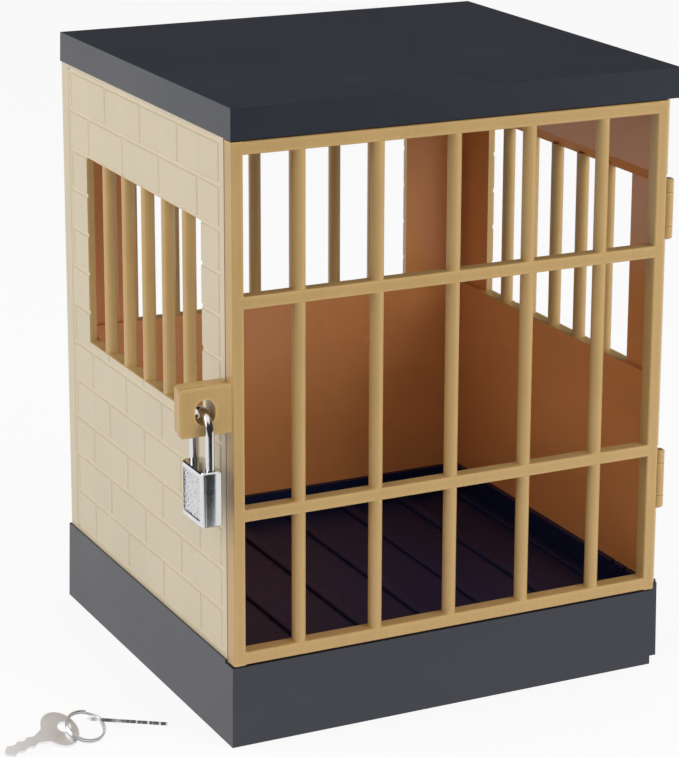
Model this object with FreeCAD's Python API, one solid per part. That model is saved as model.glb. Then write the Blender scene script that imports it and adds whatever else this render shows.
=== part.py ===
"""Barred lock box with a padlocked door: a plinth, three brick panels with barred windows,
a flat roof, a barred door on two pinned hinges, a small padlock through two ears, and
two keys on a split ring beside it. Millimetres, +Z up, the door faces -Y. The origin is
the middle of the plinth's resting face."""

import FreeCAD, Part
import math
import os

V = FreeCAD.Vector

# Clearances and fits
SEAT_GAP = 0.10          # side play of a panel in its seat
RUN_GAP = 0.30           # free air between pieces that move past each other
PIN_FIT = 0.06           # radial running clearance of a turning pin
PRESS_FIT = 0.02         # radial clearance of a pin held still
JOINT_GAP = 0.15         # end play between two knuckles
OVER = 1.0               # how far a cutting block runs past what it cuts
NUDGE = 0.1              # small overlap of two forms, and the reach when an edge is picked
TINY = 1e-6
ROOT = 0.5               # how far an added form runs into what carries it

# Cabinet
BODY_W = 153.7           # over the outer faces of the side panels
BODY_D = 139.7           # front of the door to the outer face of the back panel
EAVES_Z = 189.8          # underside of the roof, top of the panels
DOOR_SHORT = 3.7         # door ends this far inside the hinge side's outer face
DOOR_T = 5.3             # depth of the door frame

# Plinth
PLINTH_H = 25.7          # front edge of the plinth
RIM_H = 0.9              # how far the side and back rims stand above the front edge
RIM_T = 0.60             # thickness of that rim at the top
PLINTH_DRAFT = 0.48      # how much wider each side is at the foot
PLINTH_LEAD = 0.25       # plinth front ahead of the door at the top
DECK_Z = 21.8            # floor of the cabinet
DECK_T = 2.2
SKIRT_T = 2.8            # skirt wall at its top
LIP_T = 2.0              # inner lip that locates the panels
LIP_H = 6.7
SLOT_RIB_N = 7           # ribs that keep things standing in rows
SLOT_RIB_SIDE = 6.35     # middle of the outermost rib to the panels
SLOT_RIB_W = 4.4
SLOT_RIB_H = 1.0
SLOT_RIB_EDGE = 0.7
SLOT_RIB_FRONT = 5.3     # from the panels' front edge to the ribs
SLOT_RIB_BACK = 2.5      # from the ribs to the back lip
LIP_NOTCH_W = 1.4
LIP_NOTCH_D = 1.0
LIP_NOTCH_YS = (8.0, 15.5)   # from the panels' front edge
BOSS_R = 3.5
BOSS_IN_X = 12.75        # boss middle inside the skirt
BOSS_IN_Y = 11.75
COVER_T = 2.2
COVER_SINK = 0.0         # cover above the resting face
COVER_GAP = 0.30
CORNER_IN = 4.75         # the front right corner is cut away up to here inside the panel face
CORNER_R = 1.4
SCREW_R = 1.3
SCREW_HEAD_R = 2.5
SCREW_L = 11.0
SCREW_HEAD_H = 1.5
SCREW_RECESS = 0.8
CROSS_ARM = 1.5          # half length of the cross recess
CROSS_HALF_W = 0.35
PILOT_DEEP = 13.0

# Panels
WALL_T = 4.4             # thick zones below the sill and above the lintel
SKIN_T = 2.4             # thin zone beside a window
BACK_T = 3.0             # edge of the back panel seen from the side
SILL_Z = 98.0
WINDOW_H = 63.0
LINTEL_BEVEL = 3.8       # height of the sloping step above a window
WINDOW_FRONT = 17.2      # panel front edge to the side window
WINDOW_BACK = 18.6       # side window to the back panel
BACK_WINDOW_SIDE = 25.1  # back window to the panel's ends
BAR_D = 4.3
BAR_SKIN = 0.05          # bar behind the outer face
SIDE_BAR_N = 5
BACK_BAR_N = 6
BAR_BITE = 0.6           # how far a bar runs into its sill

# Brick relief
BRICK_L = 30.1
BRICK_H = 13.3
BRICK_Z0 = 28.35         # lowest course line
COURSE_N = 12
BORDER = 3.5             # panel front edge to the first upright line
FIRST_BRICK = 4.8        # panel front edge to the start of a full brick
JOINT_TOP_W = 1.8
JOINT_BOTTOM_W = 1.0
JOINT_DEEP = 0.35
LINE_LIFT = 0.2          # mortar cutter above the wall's face

# Roof
ROOF_H = 9.7
ROOF_SIDE = 0.20         # overhang at both sides, upper edge
ROOF_FRONT = 0.15        # ahead of the door
ROOF_BACK = 0.20
ROOF_FLARE = 0.20        # each side wider at the lower edge
ROOF_TOP_T = 2.4
PLUG_T = 1.8             # rib under the roof that drops inside the panels
PLUG_H = 3.2

# Door
DOOR_FOOT_GAP = 0.40     # above the plinth's front edge
DOOR_HEAD_GAP = 0.50     # below the roof
STILE_W = 3.9
RAIL_H = 4.1
CROSS_RAIL_H = 3.9
CROSS_RAIL_ZS = (74.1, 140.5)
RAIL_DEEP = 5.0
EDGE_R = 0.6
DOOR_BAR_N = 5
DOOR_END_CELL = 16.65    # free width between a stile and the next bar
DOOR_BAR_BACK = 0.40     # bar front behind the door's front face

# Hinges
HINGE_ZS = (63.0, 153.5)
BARREL_R = 2.0
BARREL_L = 19.6
WALL_KNUCKLE_L = 4.3
HINGE_IN = 1.25          # hinge axis inside the panel's outer face
HINGE_BACK = 3.46        # hinge axis behind the door's front face
HINGE_PIN_R = 0.9
PIN_CHAMFER = 0.2
RELIEF_D = 1.0           # notch in the panel edge beside a hinge
KNUCKLE_INSET = 0.2      # knuckle web inside the barrel's flank
BARREL_CHAMFER = 0.4
CLIP_Z = 181.5           # small catch under the roof rib, hinge side
CLIP_REACH = 2.0
CLIP_L = 1.8
RELIEF_OVER = 0.6
DOOR_WEB_FRONT = 1.0     # door web starts this far ahead of the hinge axis

# Hasp ears
DOOR_EAR_REACH = 16.8    # beyond the panel's outer face
WALL_EAR_REACH = 15.7
EAR_Z = 101.0
EAR_H = 15.2
EAR_R = 1.4
EAR_SOFT_R = 0.6         # rounding round both broad faces
DOOR_EAR_T = 2.7
DOOR_EAR_BACK = 0.55     # ear face behind the door's front face
WALL_EAR_T = 4.3
EAR_HOLE_OUT = 8.6       # hole centre beyond the panel's outer face
LOCK_OUT = 8.3           # padlock centre beyond the panel's outer face
EAR_HOLE_W = 6.6
EAR_HOLE_H = 8.0
EAR_HOLE_FOOT = 3.4      # hole foot above the ear's foot

# Padlock
SHACKLE_R = 1.40
SHACKLE_PITCH = 12.0     # between the two legs
SHACKLE_REST = 0.32      # crown above the ears' edges
LEG_TO_EDGE = 2.0        # leg's middle to the case's narrow side
LOCK_T = 7.0
LOCK_H = 17.2
LOCK_FOOT_Z = 73.8
LOCK_EDGE_R = 1.6        # rounded upright edges
FACE_CORNER_R = 0.8      # corners of the sunk field
LOCK_END_CHAMFER = 0.4
SHELL_T = 1.0            # broad walls of the case
SHELL_EDGE_T = 0.5       # narrow walls beside the legs
SHELL_END_T = 0.9
CORE_GAP = 0.05          # core to the broad walls and ends
CORE_EDGE_GAP = 0.40     # core to the narrow walls
FACE_RECESS = 0.30
FACE_BORDER = 1.7
LEG_FIT = 0.10
LEG_CHAMFER = 0.3
TOE_Z = 83.6             # end of the short leg
HEEL_Z = 77.5            # end of the long leg
HEEL_FLOOR = 0.9         # core left under the long leg's bore
NOTCH_FOOT_Z = 84.6
NOTCH_D = 0.70
BOLT_Z = 87.2
BOLT_T = 1.2
BOLT_GAP = 0.15
BOLT_TRAVEL = 2.05
BOLT_BITE = 0.50         # nose inside the leg at rest
BOLT_NOSE_W = 2.0
BOLT_PLATE_W = 4.6
BOLT_LEG_GAP = 0.45      # plate to the short leg
BOLT_TAIL = 1.3          # plate behind its slot
BOLT_ROOM = 0.25         # channel left behind the drawn bolt
CAM_PIN_R = 0.40
PLUG_R = 2.0
PLUG_NOSE_R = 1.85
PLUG_TURN_DEG = 90.0
PLUG_FOOT = 0.1          # plug nose above the case's foot
RIVET_R = 0.6
RIVET_HEAD_R = 1.0
RIVET_HEAD_H = 0.25
RIVET_TOP_R = 0.6
RIVET_INSET_Y = 3.4      # rivet from the case's edge
RIVET_INSET_Z = 3.5
WAFER_T = 0.5
WAFER_PITCH = 2.2
WAFER_START = 1.4        # first wafer above the core's foot
WAFER_HALF_X = 1.10
WAFER_HALF_Y = 1.48
WAFER_WINDOWS = (1.0, 0.9, 0.8, 1.0)   # half width of each wafer's window
KEYWAY_WALL = 0.35       # plug left beside the keyway
KEYWAY_ROOF = 1.5        # plug left above the keyway
KEYWAY_GAP = 0.05        # key to keyway, each side
SPRING_WIRE_HALF = 0.14  # half the side of the square wire
SPRING_R = 1.0
SPRING_TURNS = 3

# Keys and split ring
KEY_T = 1.0
KEY_L = 25.2
KEY_BOW_W = 14.2
KEY_BOW_L = 10.8
KEY_BLADE_W = 4.0
KEY_TIP_R = 1.6
KEY_BITE_R = 1.9
KEY_BITE_D = 0.55
KEY_BITES = (3.8, 7.4, 11.0)
KEY_SHOULDER = 1.4       # shoulder slope ahead of the bow
KEY_SHOULDER_W = 3.4
KEY_HOLE_R = 2.15
KEY_HOLE_IN = 3.75       # hole centre from the bow's end
RING_R = 6.0             # middle of the wire
RING_WIRE_R = 0.42
RING_TURN_PITCH = 0.78
RING_CENTRE = (-115.6, -43.6, 3.68)
RING_UP = (-0.25, 0.86, 0.45)      # from the ring's foot to its raised side
RING_SIDE = (0.96, 0.28, 0.0)
# Angle on the ring, direction to the tip, face normal, offset of the hole from the wire
KEY_LEANING = (146.4, (-0.964, -0.237, -0.119), (-0.420, -0.488, 0.765), (-0.66, 0.60, -1.50))
KEY_LYING = (11.7, (0.946, -0.293, -0.136), (0.062, 0.384, 0.921), (0.05, -0.22, -0.26))

# Worked out from the sizes above
HALF_W = BODY_W / 2
DOOR_Y = -BODY_D / 2
BACK_Y = BODY_D / 2
PANEL_Y = DOOR_Y + DOOR_T + RUN_GAP
BACK_IN_Y = BACK_Y - BACK_T
LINTEL_Z = SILL_Z + WINDOW_H
BEVEL_Z = LINTEL_Z + LINTEL_BEVEL
RIM_Z = PLINTH_H + RIM_H
BAR_R = BAR_D / 2
BAR_AXIS = BAR_SKIN + BAR_R
WINDOW_L = BACK_IN_Y - PANEL_Y - WINDOW_FRONT - WINDOW_BACK
BACK_WINDOW_W = BODY_W - 2 * BACK_WINDOW_SIDE
DOOR_X0 = -HALF_W
DOOR_X1 = HALF_W - DOOR_SHORT
DOOR_BARS_W = DOOR_X1 - DOOR_X0 - 2 * STILE_W - 2 * DOOR_END_CELL - BAR_D
DOOR_BAR_PITCH = DOOR_BARS_W / (DOOR_BAR_N - 1)
DOOR_Z0 = PLINTH_H + DOOR_FOOT_GAP
DOOR_Z1 = EAVES_Z - DOOR_HEAD_GAP
HINGE_X = HALF_W - HINGE_IN
HINGE_Y = DOOR_Y + HINGE_BACK
RELIEF_Y = PANEL_Y + RELIEF_D
EAR_FACE_Y = DOOR_Y + DOOR_EAR_BACK
EAR_SPLIT_Y = EAR_FACE_Y + DOOR_EAR_T
WALL_EAR_Y = EAR_SPLIT_Y + RUN_GAP
EAR_BACK_Y = WALL_EAR_Y + WALL_EAR_T
EAR_HOLE_X = -HALF_W - EAR_HOLE_OUT
LOCK_X = -HALF_W - LOCK_OUT
LOCK_Y = (EAR_FACE_Y + EAR_BACK_Y) / 2
EAR_HOLE_FOOT_Z = EAR_Z + EAR_HOLE_FOOT
CROWN_R = SHACKLE_PITCH / 2
CROWN_IN_R = CROWN_R - SHACKLE_R
EAR_HALF_T = (EAR_BACK_Y - EAR_FACE_Y) / 2
CROWN_Z = EAR_HOLE_FOOT_Z + SHACKLE_REST - math.sqrt(CROWN_IN_R ** 2 - EAR_HALF_T ** 2)
TOE_Y = LOCK_Y - CROWN_R
HEEL_Y = LOCK_Y + CROWN_R
TOE_IN_Y = TOE_Y + SHACKLE_R
LOCK_TOP_Z = LOCK_FOOT_Z + LOCK_H
LOCK_W = SHACKLE_PITCH + 2 * LEG_TO_EDGE
CORE_W = LOCK_W - 2 * SHELL_EDGE_T - 2 * CORE_EDGE_GAP
CORE_T = LOCK_T - 2 * SHELL_T - 2 * CORE_GAP
ROOM_Z0 = LOCK_FOOT_Z + SHELL_END_T
ROOM_Z1 = LOCK_TOP_Z - SHELL_END_T
CORE_Z0 = ROOM_Z0 + CORE_GAP
CORE_Z1 = ROOM_Z1 - CORE_GAP
BOLT_TOP_Z = BOLT_Z + BOLT_T
CAM_ORBIT = BOLT_TRAVEL / (2 * math.sin(math.radians(PLUG_TURN_DEG / 2)))
CAM_X = LOCK_X + CAM_ORBIT * math.cos(math.radians(PLUG_TURN_DEG / 2))
CAM_Y = LOCK_Y - BOLT_TRAVEL / 2
BOLT_BACK_Y = CAM_Y + CAM_PIN_R + BOLT_TAIL
CHANNEL_Y0 = TOE_Y + SHACKLE_R + LEG_FIT
CHANNEL_Y1 = BOLT_BACK_Y + BOLT_TRAVEL + BOLT_ROOM
PLINTH_HALF_W = HALF_W + SEAT_GAP + RIM_T
PLINTH_Y0 = DOOR_Y - PLINTH_LEAD
PLINTH_Y1 = BACK_Y + SEAT_GAP + RIM_T
CORNER_X = HALF_W - CORNER_IN
CORNER_Y = PANEL_Y - SEAT_GAP - RIM_T
SKIRT_IN_X = PLINTH_HALF_W - SKIRT_T
SKIRT_IN_Y0 = PLINTH_Y0 + SKIRT_T
SKIRT_IN_Y1 = PLINTH_Y1 - SKIRT_T
BOSS_X = SKIRT_IN_X - BOSS_IN_X
BOSS_Y = SKIRT_IN_Y1 - BOSS_IN_Y
LIP_X = HALF_W - WALL_T - SEAT_GAP
LIP_Y1 = BACK_Y - WALL_T - SEAT_GAP
SLOT_RIB_PITCH = (LIP_X - SLOT_RIB_SIDE) * 2 / (SLOT_RIB_N - 1)
COVER_TOP_Z = COVER_SINK + COVER_T
RING_HALF = RING_TURN_PITCH / 2


def box(x0, x1, y0, y1, z0, z1):
    """A block between two corners."""
    return Part.makeBox(x1 - x0, y1 - y0, z1 - z0, V(x0, y0, z0))


def rod(x, y, z0, z1, r):
    """An upright cylinder."""
    return Part.makeCylinder(r, z1 - z0, V(x, y, z0), V(0, 0, 1))


def fused(shapes):
    """One solid out of several that touch or overlap."""
    return shapes[0].fuse(list(shapes[1:])).removeSplitter()


def cut(shape, tools):
    """The shape without all of the tools."""
    return shape.cut(list(tools))


def prism(points, direction):
    """A straight prism over a flat outline."""
    wire = Part.makePolygon(list(points) + [points[0]])
    return Part.Face(wire).extrude(direction)


def frustum(x0, x1, y0, y1, z0, grow, z1):
    """A block whose lower edge at z0 stands out by grow beyond its upper edge at z1."""
    low = [V(x0 - grow, y0 - grow, z0), V(x1 + grow, y0 - grow, z0),
           V(x1 + grow, y1 + grow, z0), V(x0 - grow, y1 + grow, z0)]
    high = [V(x0, y0, z1), V(x1, y0, z1), V(x1, y1, z1), V(x0, y1, z1)]
    wires = [Part.makePolygon(ring + [ring[0]]) for ring in (low, high)]
    return Part.makeLoft(wires, True, True)


def edges_along(shape, axis):
    """The straight edges of a shape that run along one axis."""
    found = []
    for edge in shape.Edges:
        step = edge.Vertexes[-1].Point - edge.Vertexes[0].Point
        if step.Length > TINY and abs(abs(step.normalize().dot(axis)) - 1) < TINY:
            found.append(edge)
    return found


def soft_box(x0, x1, y0, y1, z0, z1, r, axis):
    """A block with its four edges along one axis rounded."""
    shape = box(x0, x1, y0, y1, z0, z1)
    return shape.makeFillet(r, edges_along(shape, axis))


def mirrored_x(shape):
    """The same shape on the other side of the middle plane."""
    return shape.mirror(V(0, 0, 0), V(1, 0, 0))


def fitted_l(grow, z0, z1):
    """Block inside the plinth's skirt that leaves the cut-away corner alone; grow shrinks it."""
    whole = box(-SKIRT_IN_X + grow, SKIRT_IN_X - grow, SKIRT_IN_Y0 + grow, SKIRT_IN_Y1 - grow, z0, z1)
    corner = box(CORNER_X - SKIRT_T - grow, HALF_W * 2, PLINTH_Y0 * 2, CORNER_Y + SKIRT_T + grow,
                 z0 - OVER, z1 + OVER)
    return whole.cut(corner)


def slot_rib(x):
    """One low rounded rib on the cabinet floor."""
    y0 = PANEL_Y + SLOT_RIB_FRONT
    y1 = LIP_Y1 - LIP_T - SLOT_RIB_BACK
    rib = box(x - SLOT_RIB_W / 2, x + SLOT_RIB_W / 2, y0, y1, DECK_Z - OVER, DECK_Z + SLOT_RIB_H)
    tops = [e for e in rib.Edges if min(v.Z for v in e.Vertexes) > DECK_Z]
    return rib.makeFillet(SLOT_RIB_EDGE, tops)


def boss_places():
    """The four screw bosses of the plinth."""
    return [(sx * BOSS_X, sy * BOSS_Y) for sx in (-1, 1) for sy in (-1, 1)]


def base_plinth():
    """Hollow plinth: skirt, deck with ribs, outer rim, inner lip and screw bosses."""
    skirt = frustum(-PLINTH_HALF_W, PLINTH_HALF_W, PLINTH_Y0, PLINTH_Y1, 0, PLINTH_DRAFT, RIM_Z)
    reach = BODY_W
    seat_x = HALF_W + SEAT_GAP
    corner = soft_box(CORNER_X, reach, -reach, CORNER_Y, -1, RIM_Z + OVER, CORNER_R, V(0, 0, 1))
    tools = [
        box(-reach, reach, -reach, PANEL_Y - SEAT_GAP, PLINTH_H, RIM_Z + OVER),
        box(-seat_x, seat_x, PANEL_Y - SEAT_GAP, BACK_Y + SEAT_GAP, DECK_Z, RIM_Z + OVER),
        fitted_l(0, -1, DECK_Z - DECK_T),
        corner,
    ]
    shell = cut(skirt, tools)
    lip_z = DECK_Z + LIP_H
    lips = [
        box(-LIP_X, -LIP_X + LIP_T, PANEL_Y, LIP_Y1, DECK_Z - OVER, lip_z),
        box(LIP_X - LIP_T, LIP_X, PANEL_Y, LIP_Y1, DECK_Z - OVER, lip_z),
        box(-LIP_X, LIP_X, LIP_Y1 - LIP_T, LIP_Y1, DECK_Z - OVER, lip_z),
    ]
    middle = (SLOT_RIB_N - 1) / 2
    ribs = [slot_rib((i - middle) * SLOT_RIB_PITCH) for i in range(SLOT_RIB_N)]
    bosses = [rod(x, y, COVER_TOP_Z, DECK_Z - DECK_T / 2, BOSS_R) for x, y in boss_places()]
    plinth = fused([shell] + lips + ribs + bosses)
    tools = [rod(x, y, 0, COVER_TOP_Z + PILOT_DEEP, SCREW_R + PRESS_FIT) for x, y in boss_places()]
    for y in LIP_NOTCH_YS:
        for x0 in (-LIP_X - OVER, LIP_X - LIP_T - OVER):
            tools.append(box(x0, x0 + LIP_T + 2, PANEL_Y + y, PANEL_Y + y + LIP_NOTCH_W,
                             lip_z - LIP_NOTCH_D, lip_z + OVER))
    return cut(plinth, tools)


def base_cover():
    """Flat plate that closes the plinth from below, held by four screws."""
    plate = fitted_l(COVER_GAP, COVER_SINK, COVER_TOP_Z)
    holes = []
    for px, py in boss_places():
        holes.append(rod(px, py, 0, COVER_TOP_Z + OVER, SCREW_R + PRESS_FIT))
        holes.append(Part.makeCone(SCREW_HEAD_R + PRESS_FIT, SCREW_R + PRESS_FIT, SCREW_HEAD_H,
                                   V(px, py, COVER_SINK), V(0, 0, 1)))
    return cut(plate, holes)


def base_screws():
    """Four countersunk self-tapping screws with a cross recess."""
    screws = []
    for px, py in boss_places():
        head = Part.makeCone(SCREW_HEAD_R, SCREW_R, SCREW_HEAD_H, V(px, py, COVER_SINK), V(0, 0, 1))
        shank = rod(px, py, COVER_SINK, COVER_SINK + SCREW_L, SCREW_R)
        arm = CROSS_ARM
        bar = CROSS_HALF_W
        cross = [box(px - arm, px + arm, py - bar, py + bar, 0, COVER_SINK + SCREW_RECESS),
                 box(px - bar, px + bar, py - arm, py + arm, 0, COVER_SINK + SCREW_RECESS)]
        screws.append(cut(fused([head, shank]), cross))
    return Part.makeCompound(screws)


def joint_line(start, end, out, side):
    """One shallow tapered mortar line from start to end; out points away from the wall."""
    top = side * (JOINT_TOP_W / 2)
    foot = side * (JOINT_BOTTOM_W / 2)
    lift = out * LINE_LIFT
    sink = out * -JOINT_DEEP
    spread = side * ((JOINT_TOP_W - JOINT_BOTTOM_W) / 2 * LINE_LIFT / JOINT_DEEP)
    outline = [start + lift - top - spread, start + sink - foot, start + sink + foot,
               start + lift + top + spread]
    return prism(outline, end - start)


def bricked(panel, length, place, out, along):
    """The panel with the mortar lines of a running bond; place(s, z) is a point of its face."""
    up = V(0, 0, 1)
    top_z = BRICK_Z0 + COURSE_N * BRICK_H
    level = []
    upright = [joint_line(place(s, BRICK_Z0), place(s, top_z), out, along)
               for s in (BORDER, length - BORDER)]
    for i in range(COURSE_N + 1):
        z = BRICK_Z0 + i * BRICK_H
        level.append(joint_line(place(BORDER, z), place(length - BORDER, z), out, up))
    for i in range(COURSE_N):
        z = BRICK_Z0 + i * BRICK_H
        first = FIRST_BRICK + (BRICK_L if i % 2 else BRICK_L / 2)
        while first < length - BORDER - JOINT_TOP_W:
            upright.append(joint_line(place(first, z), place(first, z + BRICK_H), out, along))
            first += BRICK_L
    return panel.cut(level).cut(upright)


def side_panel():
    """A side panel at +X: thick below the sill and above the lintel, with round bars."""
    x1 = HALF_W
    x_thick = x1 - WALL_T
    x_thin = x1 - SKIN_T
    y0 = PANEL_Y
    y1 = BACK_IN_Y
    section = [V(x1, y0, DECK_Z), V(x_thick, y0, DECK_Z), V(x_thick, y0, SILL_Z),
               V(x_thin, y0, SILL_Z), V(x_thin, y0, LINTEL_Z), V(x_thick, y0, BEVEL_Z),
               V(x_thick, y0, EAVES_Z), V(x1, y0, EAVES_Z)]
    panel = prism(section, V(0, y1 - y0, 0))
    w0 = y0 + WINDOW_FRONT
    panel = cut(panel, [box(x_thick - OVER, x1 + OVER, w0, w0 + WINDOW_L, SILL_Z, LINTEL_Z)])

    def place(s, z):
        return V(x1, y0 + s, z)
    panel = bricked(panel, y1 - y0, place, V(1, 0, 0), V(0, 1, 0))
    gap = (WINDOW_L - SIDE_BAR_N * BAR_D) / (SIDE_BAR_N + 1)
    bars = []
    for i in range(SIDE_BAR_N):
        y = w0 + gap + BAR_R + i * (gap + BAR_D)
        bars.append(rod(x1 - BAR_AXIS, y, SILL_Z - BAR_BITE, LINTEL_Z + BAR_BITE, BAR_R))
    return fused([panel] + bars)


def hasp_ear(y0, y1, x_root, reach):
    """Rounded ear block reaching out at -X, with its upright oval hole."""
    x0 = -HALF_W - reach
    ear = box(x0, x_root, y0, y1, EAR_Z, EAR_Z + EAR_H)
    outer = [e for e in edges_along(ear, V(0, 1, 0)) if e.Vertexes[0].X < x0 + NUDGE]
    ear = ear.makeFillet(EAR_R, outer)
    rims = [e for e in ear.Edges if abs(e.Vertexes[0].Y - e.Vertexes[-1].Y) < TINY
            and min(v.X for v in e.Vertexes) < x_root - TINY]
    ear = ear.makeFillet(EAR_SOFT_R, rims)
    r = EAR_HOLE_W / 2
    z_low = EAR_HOLE_FOOT_Z + r
    z_high = EAR_HOLE_FOOT_Z + EAR_HOLE_H - r
    depth = y1 - y0 + 2
    hole = [Part.makeCylinder(r, depth, V(EAR_HOLE_X, y0 - OVER, z), V(0, 1, 0)) for z in (z_low, z_high)]
    hole.append(box(EAR_HOLE_X - r, EAR_HOLE_X + r, y0 - OVER, y1 + OVER, z_low, z_high))
    return cut(ear, [fused(hole)])


def left_panel():
    """Hasp side panel: brick panel with the fixed ear on its outer face."""
    panel = mirrored_x(side_panel())
    free = hasp_ear(WALL_EAR_Y, EAR_BACK_Y, -HALF_W - RUN_GAP, WALL_EAR_REACH)
    root = box(-HALF_W - RUN_GAP, -HALF_W + ROOT, PANEL_Y, EAR_BACK_Y, EAR_Z, EAR_Z + EAR_H)
    return fused([panel, free, root])


def knuckle_span(hinge_z, end):
    """Lower and upper Z of one panel knuckle; end is -1 for the lower, 1 for the upper."""
    tip = hinge_z + end * BARREL_L / 2
    inner = tip - end * WALL_KNUCKLE_L
    return min(tip, inner), max(tip, inner)


def right_panel():
    """Hinge side panel: brick panel with a relief and two knuckles per hinge."""
    reliefs = []
    added = []
    bores = []
    for hz in HINGE_ZS:
        half = BARREL_L / 2
        reliefs.append(box(HALF_W - WALL_T - OVER, HALF_W + OVER, PANEL_Y - OVER, RELIEF_Y,
                           hz - half - RELIEF_OVER, hz + half + RELIEF_OVER))
        for end in (-1, 1):
            z0, z1 = knuckle_span(hz, end)
            barrel = rod(HINGE_X, HINGE_Y, z0, z1, BARREL_R)
            tip = [e for e in barrel.Edges if len(e.Vertexes) == 1
                   and abs(e.Vertexes[0].Z - hz) > half - NUDGE]
            added.append(barrel.makeChamfer(BARREL_CHAMFER, tip))
            added.append(box(HINGE_X - BARREL_R + KNUCKLE_INSET, HALF_W, HINGE_Y, RELIEF_Y + ROOT,
                             z0 + BARREL_CHAMFER, z1 - BARREL_CHAMFER))
        bores.append(rod(HINGE_X, HINGE_Y, hz - half - OVER, hz + half + OVER, HINGE_PIN_R + PRESS_FIT))
    in_x = HALF_W - WALL_T
    clip_top = CLIP_Z + CLIP_REACH
    clip = prism([V(in_x + ROOT, PANEL_Y, CLIP_Z), V(in_x - CLIP_REACH, PANEL_Y, clip_top),
                  V(in_x + ROOT, PANEL_Y, clip_top)], V(0, CLIP_L, 0))
    panel = fused([cut(side_panel(), reliefs), clip] + added)
    return cut(panel, bores)


def hinge_pin(hinge_z):
    """Plain steel pin through the knuckles of one hinge."""
    pin = rod(HINGE_X, HINGE_Y, hinge_z - BARREL_L / 2, hinge_z + BARREL_L / 2, HINGE_PIN_R)
    return pin.makeChamfer(PIN_CHAMFER, [e for e in pin.Edges if len(e.Vertexes) == 1])


def back_panel():
    """Back panel over the full width, with a barred window."""
    thin_y = BACK_Y - SKIN_T
    pad_y = BACK_Y - WALL_T
    pad_x = HALF_W - WALL_T - SEAT_GAP
    root_y = BACK_IN_Y + ROOT
    plate = box(-HALF_W, HALF_W, BACK_IN_Y, BACK_Y, DECK_Z, EAVES_Z)
    low_pad = box(-pad_x, pad_x, pad_y, root_y, DECK_Z, SILL_Z)
    high_pad = prism([V(-pad_x, root_y, LINTEL_Z), V(-pad_x, BACK_IN_Y, LINTEL_Z),
                      V(-pad_x, pad_y, BEVEL_Z), V(-pad_x, pad_y, EAVES_Z),
                      V(-pad_x, root_y, EAVES_Z)], V(2 * pad_x, 0, 0))
    panel = fused([plate, low_pad, high_pad])
    half = BACK_WINDOW_W / 2
    window = box(-half, half, pad_y - OVER, BACK_Y + OVER, SILL_Z, LINTEL_Z)
    hollow = box(-pad_x, pad_x, BACK_IN_Y - OVER, thin_y, SILL_Z, LINTEL_Z)
    panel = cut(panel, [window, hollow])

    def place(s, z):
        return V(-HALF_W + s, BACK_Y, z)
    panel = bricked(panel, BODY_W, place, V(0, 1, 0), V(1, 0, 0))
    gap = (BACK_WINDOW_W - BACK_BAR_N * BAR_D) / (BACK_BAR_N + 1)
    bars = []
    for i in range(BACK_BAR_N):
        x = -half + gap + BAR_R + i * (gap + BAR_D)
        bars.append(rod(x, BACK_Y - BAR_AXIS, SILL_Z - BAR_BITE, LINTEL_Z + BAR_BITE, BAR_R))
    return fused([panel] + bars)


def roof():
    """Flat roof: hollow below, resting on the panels, with a locating rib inside them."""
    x0 = -HALF_W - ROOF_SIDE
    x1 = HALF_W + ROOF_SIDE
    y0 = DOOR_Y - ROOF_FRONT
    y1 = BACK_Y + ROOF_BACK
    slab = frustum(x0, x1, y0, y1, EAVES_Z, ROOF_FLARE, EAVES_Z + ROOF_H)
    in_x = HALF_W - WALL_T - SEAT_GAP
    in_y0 = PANEL_Y
    in_y1 = BACK_Y - WALL_T - SEAT_GAP
    plug = box(-in_x, in_x, in_y0, in_y1, EAVES_Z - PLUG_H, EAVES_Z + OVER)
    pocket = box(-in_x + PLUG_T, in_x - PLUG_T, in_y0 + PLUG_T, in_y1 - PLUG_T,
                 EAVES_Z - PLUG_H - OVER, EAVES_Z + ROOF_H - ROOF_TOP_T)
    return cut(fused([slab, plug]), [pocket])


def door_grille():
    """Barred door in one piece: frame, rails, bars, its hasp ear and hinge knuckles."""
    y0 = DOOR_Y
    y1 = DOOR_Y + DOOR_T
    up = V(0, 0, 1)
    stiles = [soft_box(x, x + STILE_W, y0, y1, DOOR_Z0, DOOR_Z1, EDGE_R, up)
              for x in (DOOR_X0, DOOR_X1 - STILE_W)]
    bite = STILE_W / 2
    spans = [(DOOR_Z0, DOOR_Z0 + RAIL_H, DOOR_T), (DOOR_Z1 - RAIL_H, DOOR_Z1, DOOR_T)]
    for z in CROSS_RAIL_ZS:
        spans.append((z - CROSS_RAIL_H / 2, z + CROSS_RAIL_H / 2, RAIL_DEEP))
    rails = [soft_box(DOOR_X0 + bite, DOOR_X1 - bite, y0, y0 + deep, low, high, EDGE_R, V(1, 0, 0))
             for low, high, deep in spans]
    middle = (DOOR_BAR_N - 1) / 2
    door_x = (DOOR_X0 + DOOR_X1) / 2
    bars = [rod(door_x + (i - middle) * DOOR_BAR_PITCH, y0 + DOOR_BAR_BACK + BAR_R,
                DOOR_Z0 + RAIL_H / 2, DOOR_Z1 - RAIL_H / 2, BAR_R) for i in range(DOOR_BAR_N)]
    added = [hasp_ear(EAR_FACE_Y, EAR_SPLIT_Y, DOOR_X0 + bite, DOOR_EAR_REACH)]
    bores = []
    for hz in HINGE_ZS:
        half = BARREL_L / 2 - WALL_KNUCKLE_L - JOINT_GAP
        added.append(rod(HINGE_X, HINGE_Y, hz - half, hz + half, BARREL_R))
        added.append(box(DOOR_X1 - bite, HINGE_X, HINGE_Y - DOOR_WEB_FRONT, y1 - NUDGE,
                         hz - half, hz + half))
        bores.append(rod(HINGE_X, HINGE_Y, hz - half - OVER, hz + half + OVER, HINGE_PIN_R + PIN_FIT))
    door = fused(stiles + rails + bars + added)
    return cut(door, bores)


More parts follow.
